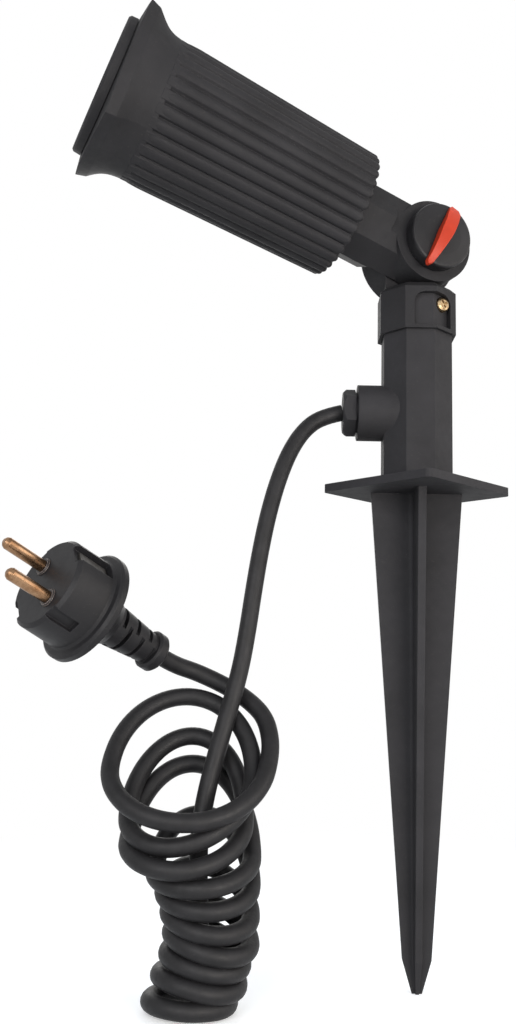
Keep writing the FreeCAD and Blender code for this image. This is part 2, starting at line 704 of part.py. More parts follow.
def flutes(back_radius, front_radius, back, front):
    """The V-shaped grooves along the barrel, as one ring of wedges."""
    depth, half_width = value("flute_depth"), value("flute_width") / 2
    # Each wedge is twice as tall as its groove, so it reaches clear of the barrel
    ends = []
    for radius, height in ((back_radius, back), (front_radius, front)):
        corners = [Vector(radius - depth, 0, height), Vector(radius + depth, 2 * half_width, height),
                   Vector(radius + depth, -2 * half_width, height)]
        ends.append(Part.makePolygon(corners + corners[:1]))
    wedge = Part.makeLoft(ends, True, True)
    count = int(value("flute_count"))
    turns = [Rotation(Vector(0, 0, 1), 360 * index / count) for index in range(count)]
    return [wedge.transformed(Placement(Vector(0, 0, 0), turn).toMatrix()) for turn in turns]


def lobed_wire(tip, waist, height):
    """Four outward arcs that meet in points on the diagonals."""
    edges = []
    for index in range(4):
        angles = [math.radians(45 + 90 * index + turn) for turn in (0, 45, 90)]
        points = [Vector(reach * math.cos(angle), reach * math.sin(angle), height)
                  for reach, angle in zip((tip, waist, tip), angles)]
        edges.append(Part.Arc(*points).toShape())
    return Part.Wire(edges)


def cone(radius_low, radius_high, low, high):
    return Part.makeCone(radius_low, radius_high, high - low, Vector(0, 0, low))


def housing():
    back, front = value("barrel_back"), value("barrel_back + barrel_length")
    flute_end = value("flute_front")
    rim_front = front - value("rim_setback")
    rim_back = rim_front - value("rim_thickness")
    r_back, r_front, depth = value("back_radius"), value("front_radius"), value("flute_depth")
    barrel = round_barrel(r_back, r_front, back, flute_end).cut(flutes(r_back, r_front, back, flute_end))
    tip, waist = value("rim_radius"), value("rim_waist")
    # The flare starts between the grooves' floors and the barrel's surface, so the grooves run out in it
    root = r_front - depth / 3
    # Share of the flare's rise reached at each share of its length, a hollow curve like a trumpet's
    rise = [(0.0, 0.0), (0.35, 0.10), (0.62, 0.30), (0.82, 0.57), (1.0, 0.85)]
    flare_start = flute_end - 2
    sections = [lobed_wire(root + (tip - root) * up, root + (waist - root) * up,
                           flare_start + (rim_back - flare_start) * along) for along, up in rise]
    flare = Part.makeLoft(sections, True, False)
    rim = Part.makeLoft([sections[-1], lobed_wire(tip, waist, rim_front)], True, True)
    face_top = rim_front + value("rim_slope")
    face = cone(tip, value("face_radius"), rim_front, face_top)
    face = face.common(Part.Face(lobed_wire(tip, waist, rim_front)).extrude(Vector(0, 0, 10)))
    solid = barrel.fuse([flare, rim, face])
    inner_back = back + value("back_wall")
    step = face_top - value("mouth_depth")
    hollow = cone(r_back - depth - value("wall"), value("inner_radius"), inner_back, step + 0.01)
    mouth = Part.makeCylinder(value("mouth_radius"), 30, Vector(0, 0, step))
    spigot_hole = Part.makeCylinder(value("neck_spigot") / 2 + 0.05, 20, Vector(0, 0, back - 5))
    return solid.cut([hollow, mouth, spigot_hole])


node("lamp_housing", on_head(formed("lamp_housing", housing())))

# ---------------------------------------------------------------- front ring, glass and gasket
barrel_front = "barrel_back + barrel_length"
rim_face = barrel_front + " - rim_setback"
face_top = rim_face + " + rim_slope"
ring_foot = face_top + " + 0.25"
lip_under = barrel_front + " - ring_lip_thickness"
skirt_outside = "mouth_radius - ring_fit"
skirt_inside = "mouth_radius - ring_fit - ring_skirt"
node("front_ring", on_head(turned("front_ring", [
    (skirt_outside, face_top + " - ring_skirt_length"), (skirt_outside, ring_foot),
    ("ring_radius + 0.25", ring_foot),
    ("ring_radius", barrel_front + " - 0.8"), ("ring_radius - 0.8", barrel_front),
    ("ring_lip + 0.8", barrel_front), ("ring_lip", barrel_front + " - 0.6"), ("ring_lip", lip_under),
    (skirt_inside, lip_under), (skirt_inside, face_top + " - ring_skirt_length")])))
glass_under = lip_under + " - glass_thickness - 0.02"
glass_radius = skirt_inside + " - glass_clearance"
node("lens_glass", on_head(turned("lens_glass", [
    ("0", glass_under), (glass_radius, glass_under), (glass_radius, lip_under + " - 0.02"),
    ("0", lip_under + " - 0.02")])))
gasket_under = glass_under + " - gasket_thickness"
node("lens_gasket", on_head(turned("lens_gasket", [
    ("ring_lip", gasket_under), (skirt_inside + " - 0.05", gasket_under),
    (skirt_inside + " - 0.05", glass_under + " - 0.02"), ("ring_lip", glass_under + " - 0.02")])))

# ---------------------------------------------------------------- lamp, holder and bracket
lamp_front = barrel_front + " - lamp_front_gap - 4"
lamp_back = "(%s) - lamp_depth" % lamp_front
reflector_corners = [
    ("lamp_neck_radius", lamp_back), ("lamp_radius * 0.62", lamp_back + " + lamp_depth * 0.2"),
    ("lamp_radius * 0.84", lamp_back + " + lamp_depth * 0.48"),
    ("lamp_radius * 0.96", lamp_back + " + lamp_depth * 0.78"),
    ("lamp_radius", lamp_front + " - lamp_rim"), ("lamp_radius", lamp_front),
    ("lamp_radius - lamp_wall", lamp_front), ("lamp_radius - lamp_wall", lamp_front + " - lamp_rim"),
    ("lamp_radius * 0.96 - lamp_wall", lamp_back + " + lamp_depth * 0.78"),
    ("lamp_radius * 0.84 - lamp_wall", lamp_back + " + lamp_depth * 0.48"),
    ("lamp_radius * 0.62 - lamp_wall", lamp_back + " + lamp_depth * 0.2 + 0.6"),
    ("lamp_neck_radius - lamp_wall - 2", lamp_back + " + lamp_wall + 1"), ("0", lamp_back + " + lamp_wall + 1"),
    ("0", lamp_back)]
node("lamp_reflector", on_head(turned("lamp_reflector", reflector_corners)))
node("lamp_cover", on_head(turned("lamp_cover", [
    ("0", lamp_front + " - 1.6"), ("lamp_radius - lamp_wall - 0.05", lamp_front + " - 1.6"),
    ("lamp_radius - lamp_wall - 0.05", lamp_front + " - 0.4"), ("0", lamp_front + " - 0.4")])))
node("lamp_burner", on_head(turned("lamp_burner", [
    ("0", lamp_back + " + lamp_wall + 1.02"), ("3.4", lamp_back + " + lamp_wall + 1.02"),
    ("3.4", lamp_back + " + 8"), ("4.2", lamp_back + " + 10"), ("4.2", lamp_back + " + 18"),
    ("2.4", lamp_back + " + 21.5"), ("0", lamp_back + " + 22.5")])))
base_back = lamp_back + " - lamp_base_length"
node("lamp_base", on_head(rounded("lamp_base", box("lamp_base_block", "lamp_base_depth", "lamp_base_width",
                                                    "lamp_base_length - 0.02", x="-lamp_base_depth / 2",
                                                    y="-lamp_base_width / 2", z=base_back), "2",
                                  lambda middle, edge: abs(edge.tangentAt(edge.FirstParameter).z) > 0.9)))
pins = []
for side in (-1, 1):
    stalk = cylinder("lamp_pin_stalk_%d" % (side + 1), "lamp_pin_radius", "lamp_pin_length - 0.02",
                     y="%d * lamp_pin_pitch / 2" % side, z=base_back + " - lamp_pin_length")
    button = cylinder("lamp_pin_button_%d" % (side + 1), "lamp_button_radius", "2.4",
                      y="%d * lamp_pin_pitch / 2" % side, z=base_back + " - lamp_pin_length")
    pins.append(fuse("lamp_pin_%d" % (side + 1), stalk, button))
node("lamp_pins", on_head(group("lamp_pins", pins)))
holder_front = base_back + " - 0.3"
holder_back = "(%s) - holder_length" % holder_front
holder_round = cylinder("holder_round", "holder_radius", "holder_length", z=holder_back)
pin_slots = [cylinder("pin_slot_%d" % (side + 1), "lamp_button_radius + 0.4", "lamp_pin_length + 0.5",
                      y="%d * lamp_pin_pitch / 2" % side, z=holder_front + " - lamp_pin_length - 0.3")
             for side in (-1, 1)]
holder_flats = [box("holder_flat_%d" % side, "8", "40", "6",
                    x="holder_radius - 3" if side else "-holder_radius - 5", y="-20", z=holder_back + " - 1")
                for side in (0, 1)]
node("lamp_holder", on_head(cut("lamp_holder", holder_round, *pin_slots, *holder_flats)))
strap_high = "(%s) - 0.02" % holder_back
strap_low = "barrel_back + back_wall + 0.02"
leg = "bracket_span / 2"
bracket_corners = [
    ("-(%s) - bracket_foot * 0.5" % leg, strap_low), ("-(%s) + bracket_sheet" % leg, strap_low),
    ("-(%s) + bracket_sheet" % leg, strap_high + " - bracket_sheet"),
    (leg + " - bracket_sheet", strap_high + " - bracket_sheet"), (leg + " - bracket_sheet", strap_low),
    (leg + " + bracket_foot * 0.5", strap_low), (leg + " + bracket_foot * 0.5", strap_low + " + bracket_sheet"),
    (leg, strap_low + " + bracket_sheet"), (leg, strap_high), ("-(%s)" % leg, strap_high),
    ("-(%s)" % leg, strap_low + " + bracket_sheet"),
    ("-(%s) - bracket_foot * 0.5" % leg, strap_low + " + bracket_sheet")]
strap = extruded("strap", bracket_corners, "bracket_width", "XZ_Plane", True)
strap_hole = cylinder("strap_hole", "4.6", "10", z=strap_high + " - 5")
node("holder_bracket", on_head(cut("holder_bracket", strap, strap_hole)))
node("head_wires", on_head(group("head_wires", wires(
    "head_wire", "neck_start + 6", "(%s) - 0.05" % holder_back,
    [("-2.2", "0"), ("2.2", "0")]))))

# ---------------------------------------------------------------- supply cord, its coil and its loops
CORD_ROUTE = [
    (-29.5, 12.2, 235.0), (-37.6, 15.3, 233.0), (-45.6, 15.6, 226.6), (-52.4, 14.7, 216.6), (-58.2, 13.0, 203.4),
    (-62.9, 11.5, 188.5), (-66.5, 10.2, 173.0), (-69.6, 9.0, 156.0), (-72.2, 8.0, 139.5), (-75.3, 7.1, 123.5),
    (-79.7, 6.3, 108.8), (-84.5, 5.0, 93.5), (-88.8, 3.8, 78.5), (-91.6, 2.3, 64.5), (-92.2, 1.0, 52.0)]
LEAD_ROUTE = [
    (-67.2, -4.9, 100.8), (-65.2, 1.4, 109.1), (-68.0, 9.9, 114.6), (-74.8, 18.9, 119.0), (-87.3, 23.3, 122.9),
    (-98.5, 22.2, 125.8), (-106.2, 19.0, 129.6)]
COIL_AXIS = [(-93.2, 2.2, 0.0), (-89.6, 0.9, 9.0), (-87.2, 0.0, 24.0), (-87.6, 0.1, 40.0), (-89.6, 0.6, 54.0)]
# Each loop: centre, radius of its middle line, how far its far side stands up and how far it leans to the
# right, in degrees
LOOPS = [((-92.2, 2.1, 63.5), 18.0, 48.0, 16.0), ((-94.8, 4.6, 79.5), 24.5, 53.0, 8.0),
         ((-95.7, 6.8, 96.5), 31.0, 53.0, 8.0)]
LOOP_SIDES = 16


def rounded_route(points):
    """Straight runs joined by tangent arcs, each as large as its two runs allow. Prints the arcs' radii."""
    points = [Vector(*point) for point in points]
    edges, radii = [], []
    start = points[0]
    for before, corner, after in zip(points, points[1:], points[2:]):
        incoming, outgoing = corner - before, after - corner
        half_turn = incoming.getAngle(outgoing) / 2
        trim = 0.45 * min(incoming.Length, outgoing.Length)
        radii.append(trim / math.tan(half_turn))
        first = corner - incoming.normalize() * trim
        last = corner + outgoing.normalize() * trim
        inward = (outgoing - incoming).normalize()
        middle = corner + inward * (radii[-1] / math.cos(half_turn) - radii[-1])
        edges.append(Part.LineSegment(start, first).toShape())
        edges.append(Part.Arc(first, middle, last).toShape())
        start = last
    edges.append(Part.LineSegment(start, points[-1]).toShape())
    print("arc radii:", " ".join("%.0f" % radius for radius in radii))
    return Part.Wire(edges)


def tube(points, radius):
    path = rounded_route(points)
    first = path.Edges[0]
    circle = Part.Wire([Part.Circle(first.valueAt(first.FirstParameter), first.tangentAt(first.FirstParameter),
                                    radius).toShape()])
    solid = path.makePipeShell([circle], True, True)
    print("tube volume share:", round(solid.Volume / (math.pi * radius ** 2 * path.Length), 4),
          "length:", round(path.Length, 1))
    return solid


def coil_column():
    circles = [Part.Wire([Part.Circle(Vector(*centre), Vector(0, 0, 1), value("turn_radius")).toShape()])
               for centre in COIL_AXIS]
    return Part.makeLoft(circles, True, True)


def loop_ring(centre, radius, rise, to_right):
    """One plain loop of cord, made of short straight runs, whose front hangs lowest."""
    side, away, up = Vector(0.9304, -0.3665, 0), Vector(0.3665, 0.9304, 0), Vector(0, 0, 1)
    rise, to_right = math.radians(rise), math.radians(to_right)
    right = side * math.cos(to_right) + up * math.sin(to_right)
    back = away * math.cos(rise) + up * math.sin(rise)
    step = 2 * math.pi / LOOP_SIDES
    corners = [Vector(*centre) + (right * math.cos(step * index) + back * math.sin(step * index)) * radius
               for index in range(LOOP_SIDES)]
    start = (corners[0] + corners[-1]) * 0.5
    path = Part.makePolygon([start] + corners + [start])
    ring = Part.BRepOffsetAPI.MakePipeShell(path)
    ring.setTransitionMode(1)
    ring.add(Part.Wire([Part.Circle(start, corners[0] - start, value(cord_radius)).toShape()]))
    ring.build()
    ring.makeSolid()
    return ring.shape()


node("supply_cord", formed("supply_cord", tube(CORD_ROUTE, value(cord_radius))))
node("cord_coil", formed("cord_coil", coil_column()))
node("cord_loops", formed("cord_loops", Part.makeCompound([loop_ring(*loop) for loop in LOOPS])))
node("plug_lead", formed("plug_lead", tube(LEAD_ROUTE, value(cord_radius))))

# ---------------------------------------------------------------- mains plug
PLUG_END = Vector(*LEAD_ROUTE[-1])


def on_plug(item):
    """Lays a plug piece on the lead's end; its Z axis points from the lead to the pins' tips."""
    turn = Rotation(Vector(0, 0, 1), value("plug_heading")).multiply(
        Rotation(Vector(0, 1, 0), 90 - value("plug_rise"))).multiply(Rotation(Vector(0, 0, 1), value("plug_roll")))
    item.Placement = Placement(PLUG_END, turn)
    return item


plug_back = "boot_length"
flange_back = plug_back + " + plug_shoulder_length"
flange_front = flange_back + " + plug_flange_thickness"
plug_face = flange_front + " + plug_body_length - plug_flange_thickness / 2"
plug_round = turned("plug_round", [
    ("0", plug_back), ("boot_radius + 0.6", plug_back), ("boot_radius + 2.4", plug_back + " + 2.5"),
    ("plug_flange_radius - 6", flange_back + " - 2.2"), ("plug_flange_radius - 2.0", flange_back),
    ("plug_flange_radius", flange_back + " + 1.2"), ("plug_flange_radius", flange_front + " - 1"),
    ("plug_flange_radius - 1", flange_front), ("plug_face_radius + 0.6", flange_front + " + 0.4"),
    ("plug_face_radius", flange_front + " + 1.4"),
    ("plug_face_radius - 0.3", plug_face + " - 1.4"), ("plug_face_radius - 1.6", plug_face), ("0", plug_face)])
earth_channels = [box("earth_channel_%d" % side, "plug_earth_width", "plug_earth_depth + 5", "60",
                      x="-plug_earth_width / 2",
                      y="plug_face_radius - plug_earth_depth" if side else "-plug_face_radius - 5",
                      z=flange_front + " + 1.6") for side in (0, 1)]
guide_notches = [box("guide_notch_%d" % side, "plug_notch_depth + 5", "plug_notch_width", "60",
                     x="plug_face_radius - plug_notch_depth" if side else "-plug_face_radius - 5",
                     y="-plug_notch_width / 2", z=flange_front + " + 6") for side in (0, 1)]
pin_sockets = [cylinder("pin_socket_%d" % (side + 1), "plug_shank_diameter / 2 + 0.02", "14",
                        x="%d * plug_pin_pitch / 2" % side, z=plug_face + " - 12") for side in (-1, 1)]
collar_seats = [cylinder("collar_seat_%d" % (side + 1), "plug_collar_radius + 0.02", "4",
                         x="%d * plug_pin_pitch / 2" % side, z=plug_face + " - 1.5") for side in (-1, 1)]
plug_cord_hole = cylinder("plug_cord_hole", "cord_diameter / 2 + 0.05", "8", z=plug_back + " - 1")
node("plug_body", on_plug(cut("plug_body", plug_round, *earth_channels, *guide_notches, *pin_sockets,
                              *collar_seats, plug_cord_hole)))
plug_pins = []
for side in (-1, 1):
    pin = turned("plug_pin_%d" % (side + 1), [
        ("0", plug_face + " - 11.9"), ("plug_shank_diameter / 2", plug_face + " - 11.9"),
        ("plug_shank_diameter / 2", plug_face + " + 1"), ("plug_pin_diameter / 2", plug_face + " + 1"),
        ("plug_pin_diameter / 2", plug_face + " + plug_pin_length - 1.6"),
        ("plug_pin_diameter / 2 - 0.5", plug_face + " + plug_pin_length - 0.6"),
        ("plug_pin_diameter / 2 - 1.3", plug_face + " + plug_pin_length"),
        ("0", plug_face + " + plug_pin_length")])
    plug_pins.append(place(pin, x="%d * plug_pin_pitch / 2" % side))
node("plug_pins", on_plug(group("plug_pins", plug_pins)))
plug_collars = []
for side in (-1, 1):
    collar = turned("plug_collar_%d" % (side + 1), [
        ("plug_shank_diameter / 2 + 0.02", plug_face + " - 1.45"), ("plug_collar_radius", plug_face + " - 1.45"),
        ("plug_collar_radius", plug_face + " + 0.3"), ("plug_collar_radius - 0.5", plug_face + " + 0.9"),
        ("plug_shank_diameter / 2 + 0.02", plug_face + " + 0.9")])
    plug_collars.append(place(collar, x="%d * plug_pin_pitch / 2" % side))
node("plug_pin_collars", on_plug(group("plug_pin_collars", plug_collars)))
clip_low = flange_front + " + 2.4"
clip_high = plug_face + " - 2"
clips = [box("earth_clip_%d" % side, "clip_width", "clip_thickness", "(%s) - (%s)" % (clip_high, clip_low),
             x="-clip_width / 2",
             y="plug_face_radius - plug_earth_depth + 0.05" if side
             else "-plug_face_radius + plug_earth_depth - 0.05 - clip_thickness", z=clip_low) for side in (0, 1)]
node("plug_earth_clips", on_plug(group("plug_earth_clips", clips)))


boot_sleeve = turned("boot_sleeve", [
    (cord_radius + " + 0.05", "0"), ("boot_collar_radius - 0.8", "0"), ("boot_collar_radius", "0.9"),
    ("boot_collar_radius", "boot_collar_length - 0.9"), ("boot_collar_radius - 0.8", "boot_collar_length"),
    ("boot_end_radius", "boot_collar_length"), ("boot_radius", "boot_length - 0.02"),
    (cord_radius + " + 0.05", "boot_length - 0.02")])
boot_pitch = "(boot_length - boot_collar_length) / boot_slots"
boot_slots = []
for slot in range(int(SIZES["boot_slots"])):
    low = "boot_collar_length + %d * %s" % (slot, boot_pitch)
    slot_height = "%s * boot_slot_share" % boot_pitch
    # The slots stand in pairs, and each pair is a quarter turn from the last
    for side in (-1, 1):
        near = "boot_core_radius" if side > 0 else "-boot_core_radius - boot_radius"
        name = "boot_slot_%d_%d" % (slot, side + 1)
        if slot % 2 == 0:
            cutter = box(name, "boot_radius", "boot_radius * 3", slot_height, x=near, y="-boot_radius * 1.5", z=low)
        else:
            cutter = box(name, "boot_radius * 3", "boot_radius", slot_height, x="-boot_radius * 1.5", y=near, z=low)
        boot_slots.append(cutter)
node("plug_boot", on_plug(cut("plug_boot", boot_sleeve, *boot_slots)))
plug_cord_end = cylinder("plug_cord_end", cord_radius, "boot_length + 5")
node("boot_cord", on_plug(group("boot_cord", [plug_cord_end])))

# ---------------------------------------------------------------- checks and files
doc.recompute()
for item in doc.Objects:
    if "Invalid" in item.State or "Error" in item.State:
        raise RuntimeError("%s did not build: %s" % (item.Label, item.State))
os.makedirs("parts", exist_ok=True)
for item in NODES:
    if item.Shape.isNull() or not item.Shape.isValid() or not item.Shape.Solids:
        raise RuntimeError("%s has no valid shape" % item.Label)
    item.Shape.exportStep("parts/%s.step" % item.Label)
    print("%-18s solids %d  faces %d  volume %.0f" % (item.Label, len(item.Shape.Solids), len(item.Shape.Faces),
                                                    item.Shape.Volume))
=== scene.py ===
"""Looks of the garden spike spotlight: its ribs and cord, every piece's finish, the light and the camera.

The scene is in metres, +Z up along the spike, which stands on its tip at the origin. The knob faces -Y.
Sizes and places in the tables below are in millimetres, unless a comment says otherwise.
"""

import json
import math

import bmesh
import bpy
from mathutils import Matrix, Vector


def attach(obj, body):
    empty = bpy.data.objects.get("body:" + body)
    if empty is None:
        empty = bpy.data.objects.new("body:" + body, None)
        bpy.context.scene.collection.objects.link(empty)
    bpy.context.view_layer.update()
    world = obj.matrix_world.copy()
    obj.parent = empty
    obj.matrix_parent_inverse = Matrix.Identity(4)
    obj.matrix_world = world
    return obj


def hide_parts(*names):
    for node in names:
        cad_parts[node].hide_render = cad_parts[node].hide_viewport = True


MM = 0.001
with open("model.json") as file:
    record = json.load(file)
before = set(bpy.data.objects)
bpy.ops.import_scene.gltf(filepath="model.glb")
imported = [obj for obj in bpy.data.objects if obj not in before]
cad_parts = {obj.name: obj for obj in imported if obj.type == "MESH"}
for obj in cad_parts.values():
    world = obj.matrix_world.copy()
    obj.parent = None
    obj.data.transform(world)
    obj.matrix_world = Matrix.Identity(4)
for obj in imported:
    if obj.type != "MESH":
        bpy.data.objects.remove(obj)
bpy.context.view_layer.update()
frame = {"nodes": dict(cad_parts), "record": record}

# ---------------------------------------------------------------- objects and node trees


def put(name, data):
    """A new object in the scene, made of its data."""
    made = bpy.data.objects.new(name, data)
    bpy.context.collection.objects.link(made)
    return made


def put_mesh(name, mesh):
    """A new object in the scene, made of an edited mesh, which is then freed."""
    data = bpy.data.meshes.new(name)
    mesh.to_mesh(data)
    mesh.free()
    return put(name, data)


def feed(tree, item, inputs):
    """Sets a node's inputs, which are numbers, colours or other nodes' outputs."""
    for key, given in inputs.items():
        if isinstance(given, bpy.types.NodeSocket):
            tree.links.new(given, item.inputs[key])
        else:
            item.inputs[key].default_value = given


def add(tree, kind, inputs=None, **settings):
    """A node with its settings and its inputs."""
    item = tree.nodes.new(kind)
    for key, setting in settings.items():
        setattr(item, key, setting)
    feed(tree, item, inputs or {})
    return item


def new_material(name):
    """A material with an empty tree but for its shader and output."""
    made = bpy.data.materials.new(name)
    made.use_nodes = True
    tree = made.node_tree
    tree.nodes.clear()
    output = tree.nodes.new("ShaderNodeOutputMaterial")
    shader = tree.nodes.new("ShaderNodeBsdfPrincipled")
    tree.links.new(shader.outputs["BSDF"], output.inputs["Surface"])
    return made, tree, shader


def coordinates(tree, stretch=(1, 1, 1), turn=(0, 0, 0)):
    """Places on the object in metres, turned and stretched."""
    place = add(tree, "ShaderNodeTexCoord").outputs["Object"]
    mapped = add(tree, "ShaderNodeMapping", {"Vector": place, "Rotation": turn, "Scale": stretch})
    return mapped.outputs["Vector"]


def noise(tree, vector, size, detail=3.0, roughness=0.55):
    """Noise from 0 to 1, whose features are about size millimetres across."""
    inputs = {"Vector": vector, "Scale": 1 / (size * MM), "Detail": detail, "Roughness": roughness}
    return add(tree, "ShaderNodeTexNoise", inputs).outputs["Fac"]


def spread(tree, value, low, high, to_low=0.0, to_high=1.0):
    """Maps the range from low to high to another range, clamped."""
    inputs = {"Value": value, "From Min": low, "From Max": high, "To Min": to_low, "To Max": to_high}
    return add(tree, "ShaderNodeMapRange", inputs).outputs["Result"]


def opaque(colour):
    """A colour with full opacity, or another node's output as it is."""
    return colour if isinstance(colour, bpy.types.NodeSocket) else (*colour, 1)


def mix(tree, share, first, second):
    """Mixes two colours by an output's share of the second."""
    inputs = {0: share, 6: opaque(first), 7: opaque(second)}
    return add(tree, "ShaderNodeMix", inputs, data_type="RGBA").outputs[2]


def math_node(tree, operation, first, second):
    """One step of arithmetic with two outputs, or with an output and a number."""
    return add(tree, "ShaderNodeMath", {0: first, 1: second}, operation=operation).outputs[0]


def bump(tree, height, distance, normal=None):
    """A bump of a height map, distance millimetres deep, on top of another normal if there is one."""
    inputs = {"Height": height, "Distance": distance * MM, "Strength": 1.0}
    if normal is not None:
        inputs["Normal"] = normal
    return add(tree, "ShaderNodeBump", inputs).outputs["Normal"]


def soft_edges(tree, radius):
    """A normal that rounds sharp edges, and how far it leaves the flat one, from 0 to 1."""
    eased = add(tree, "ShaderNodeBevel", {"Radius": radius * MM}, samples=6).outputs["Normal"]
    flat = add(tree, "ShaderNodeNewGeometry").outputs["True Normal"]
    along = add(tree, "ShaderNodeVectorMath", {0: eased, 1: flat}, operation="DOT_PRODUCT").outputs["Value"]
    return eased, spread(tree, along, 0.995, 0.86)


def seen_plainly(tree):
    """1 where the camera looks, in a mirror or through glass too, and 0 where light falls on other things."""
    path = add(tree, "ShaderNodeLightPath")
    shown = math_node(tree, "MAXIMUM", path.outputs["Is Camera Ray"], path.outputs["Is Glossy Ray"])
    return math_node(tree, "MAXIMUM", shown, path.outputs["Is Transmission Ray"])


def shade(colour, factor):
    """A colour made darker or lighter."""
    return tuple(min(1.0, part * factor) for part in colour)


# ---------------------------------------------------------------- materials

# Sizes of a surface's features
CLOUD_SIZE = 26
RUB_SIZE = 3.2
SPECK_SIZE = 0.9
RIPPLE_SIZE = 5.5
MARK_SIZE = 1.3
SMEAR_SIZE = 9
FACET_SIZE = 3.4
TONE_SIZE = 6
# Depths of bumps, and the radius that metal edges are eased to
RIPPLE_DEPTH = 0.10
SCRATCH_DEPTH = 0.006
FACET_DEPTH = 1.0
METAL_EDGE = 0.15
PLASTIC_SPECULAR = 0.18
SHEATH_SPECULAR = 0.24
COAT_ROUGHNESS = 0.12
MIRROR_ROUGHNESS = 0.16
GLASS_IOR = 1.46
DUST = (0.075, 0.068, 0.06)
MIRROR_DULL, MIRROR_BRIGHT = (0.48, 0.48, 0.51), (0.68, 0.68, 0.70)


def moulded(name, colour, rough, grain=0.35, depth=0.012, edge=0.35, coat=0.0, dust=0.3, painted_rim_highlight=None):
    """Injection moulded plastic: fine grain, cloudy flow marks, rubbed edges and a little dust; a rim colour,
    where given, is a painted highlight along the edges.
    """
    made, tree, shader = new_material(name)
    place = coordinates(tree)
    clouds = noise(tree, place, CLOUD_SIZE, 4.0)
    fine = noise(tree, place, grain, 2.0)
    rubs = noise(tree, place, RUB_SIZE, 6.0, 0.7)
    specks = spread(tree, noise(tree, place, SPECK_SIZE, 3.0, 0.75), 0.63, 0.74)
    eased, at_edge = soft_edges(tree, edge)
    edge_wear_and_highlight = math_node(tree, "MULTIPLY", at_edge, spread(tree, rubs, 0.36, 0.62, 0.25, 0.9))
    base = mix(tree, spread(tree, clouds, 0.3, 0.72), shade(colour, 0.8), shade(colour, 1.25))
    # Lighter edges: rubbed wear, and where a rim colour is given, a painted highlight along the edges
    base = mix(tree, edge_wear_and_highlight, base, painted_rim_highlight or shade(colour, 1.9))
    base = mix(tree, math_node(tree, "MULTIPLY", specks, dust), base, DUST)
    height = math_node(tree, "ADD", fine, math_node(tree, "MULTIPLY", rubs, 0.6))
    feed(tree, shader, {
        "Base Color": base, "Roughness": spread(tree, rubs, 0.3, 0.7, rough - 0.05, rough + 0.07),
        "Normal": bump(tree, height, depth, eased), "Specular IOR Level": PLASTIC_SPECULAR,
        "Coat Weight": coat, "Coat Roughness": COAT_ROUGHNESS})
    return made


def sheath(name, colour, rough):
    """Extruded cable sheath: smooth, with faint ripples, handling marks and a dull bloom."""
    made, tree, shader = new_material(name)
    place = coordinates(tree)
    ripple = noise(tree, place, RIPPLE_SIZE, 2.0)
    marks = noise(tree, place, MARK_SIZE, 5.0, 0.7)
    base = mix(tree, spread(tree, ripple, 0.32, 0.7), shade(colour, 0.8), shade(colour, 1.3))
    base = mix(tree, spread(tree, marks, 0.58, 0.74, 0.0, 0.4), base, shade(colour, 3.4))
    height = math_node(tree, "ADD", ripple, math_node(tree, "MULTIPLY", marks, 0.12))
    feed(tree, shader, {
        "Base Color": base, "Roughness": spread(tree, marks, 0.3, 0.7, rough - 0.07, rough + 0.12),
        "Normal": bump(tree, height, RIPPLE_DEPTH), "Specular IOR Level": SHEATH_SPECULAR})
    return made


def metal(name, colour, rough, tarnish, stretch=(1, 1, 1), turn=(0, 0, 0), scratch=0.25, patch=3.5):
    """Turned or plated metal: drawn scratches along one direction and patches of tarnish."""
    made, tree, shader = new_material(name)
    drawn = noise(tree, coordinates(tree, stretch, turn), scratch, 3.0, 0.6)
    patches = noise(tree, coordinates(tree), patch, 5.0, 0.65)
    eased, at_edge = soft_edges(tree, METAL_EDGE)
    base = mix(tree, spread(tree, patches, 0.38, 0.72), colour, tarnish)
    base = mix(tree, math_node(tree, "MULTIPLY", at_edge, 0.6), base, shade(colour, 1.25))
    halves = [math_node(tree, "MULTIPLY", part, 0.5) for part in (drawn, patches)]
    marks = math_node(tree, "ADD", *halves)
    feed(tree, shader, {
        "Base Color": base, "Roughness": spread(tree, marks, 0.3, 0.7, rough - 0.08, rough + 0.14),
        "Normal": bump(tree, drawn, SCRATCH_DEPTH, eased), "Metallic": 1.0})
    return made


def clear(name, colour, rough, waves=0.0):
    """Clear glass with faint smears, and waves millimetres deep if it isn't flat."""
    made, tree, shader = new_material(name)
    smears = noise(tree, coordinates(tree), SMEAR_SIZE, 5.0, 0.7)
    feed(tree, shader, {
        "Base Color": opaque(colour), "Roughness": spread(tree, smears, 0.5, 0.8, rough, rough + 0.05),
        "Transmission Weight": 1.0, "IOR": GLASS_IOR})
    if waves:
        feed(tree, shader, {"Normal": bump(tree, smears, waves)})
    return made


def facetted_mirror(name):
    """The lamp's mirror: a metal film pressed into small facets."""
    made, tree, shader = new_material(name)
    cells = add(tree, "ShaderNodeTexVoronoi", {"Vector": coordinates(tree), "Scale": 1 / (FACET_SIZE * MM),
                                               "Randomness": 0.25}, feature="F1")
    tone = spread(tree, noise(tree, coordinates(tree), TONE_SIZE), 0.3, 0.7)
    feed(tree, shader, {
        "Base Color": mix(tree, tone, MIRROR_DULL, MIRROR_BRIGHT), "Roughness": MIRROR_ROUGHNESS,
        "Normal": bump(tree, cells.outputs["Distance"], FACET_DEPTH), "Metallic": 1.0})
    return made


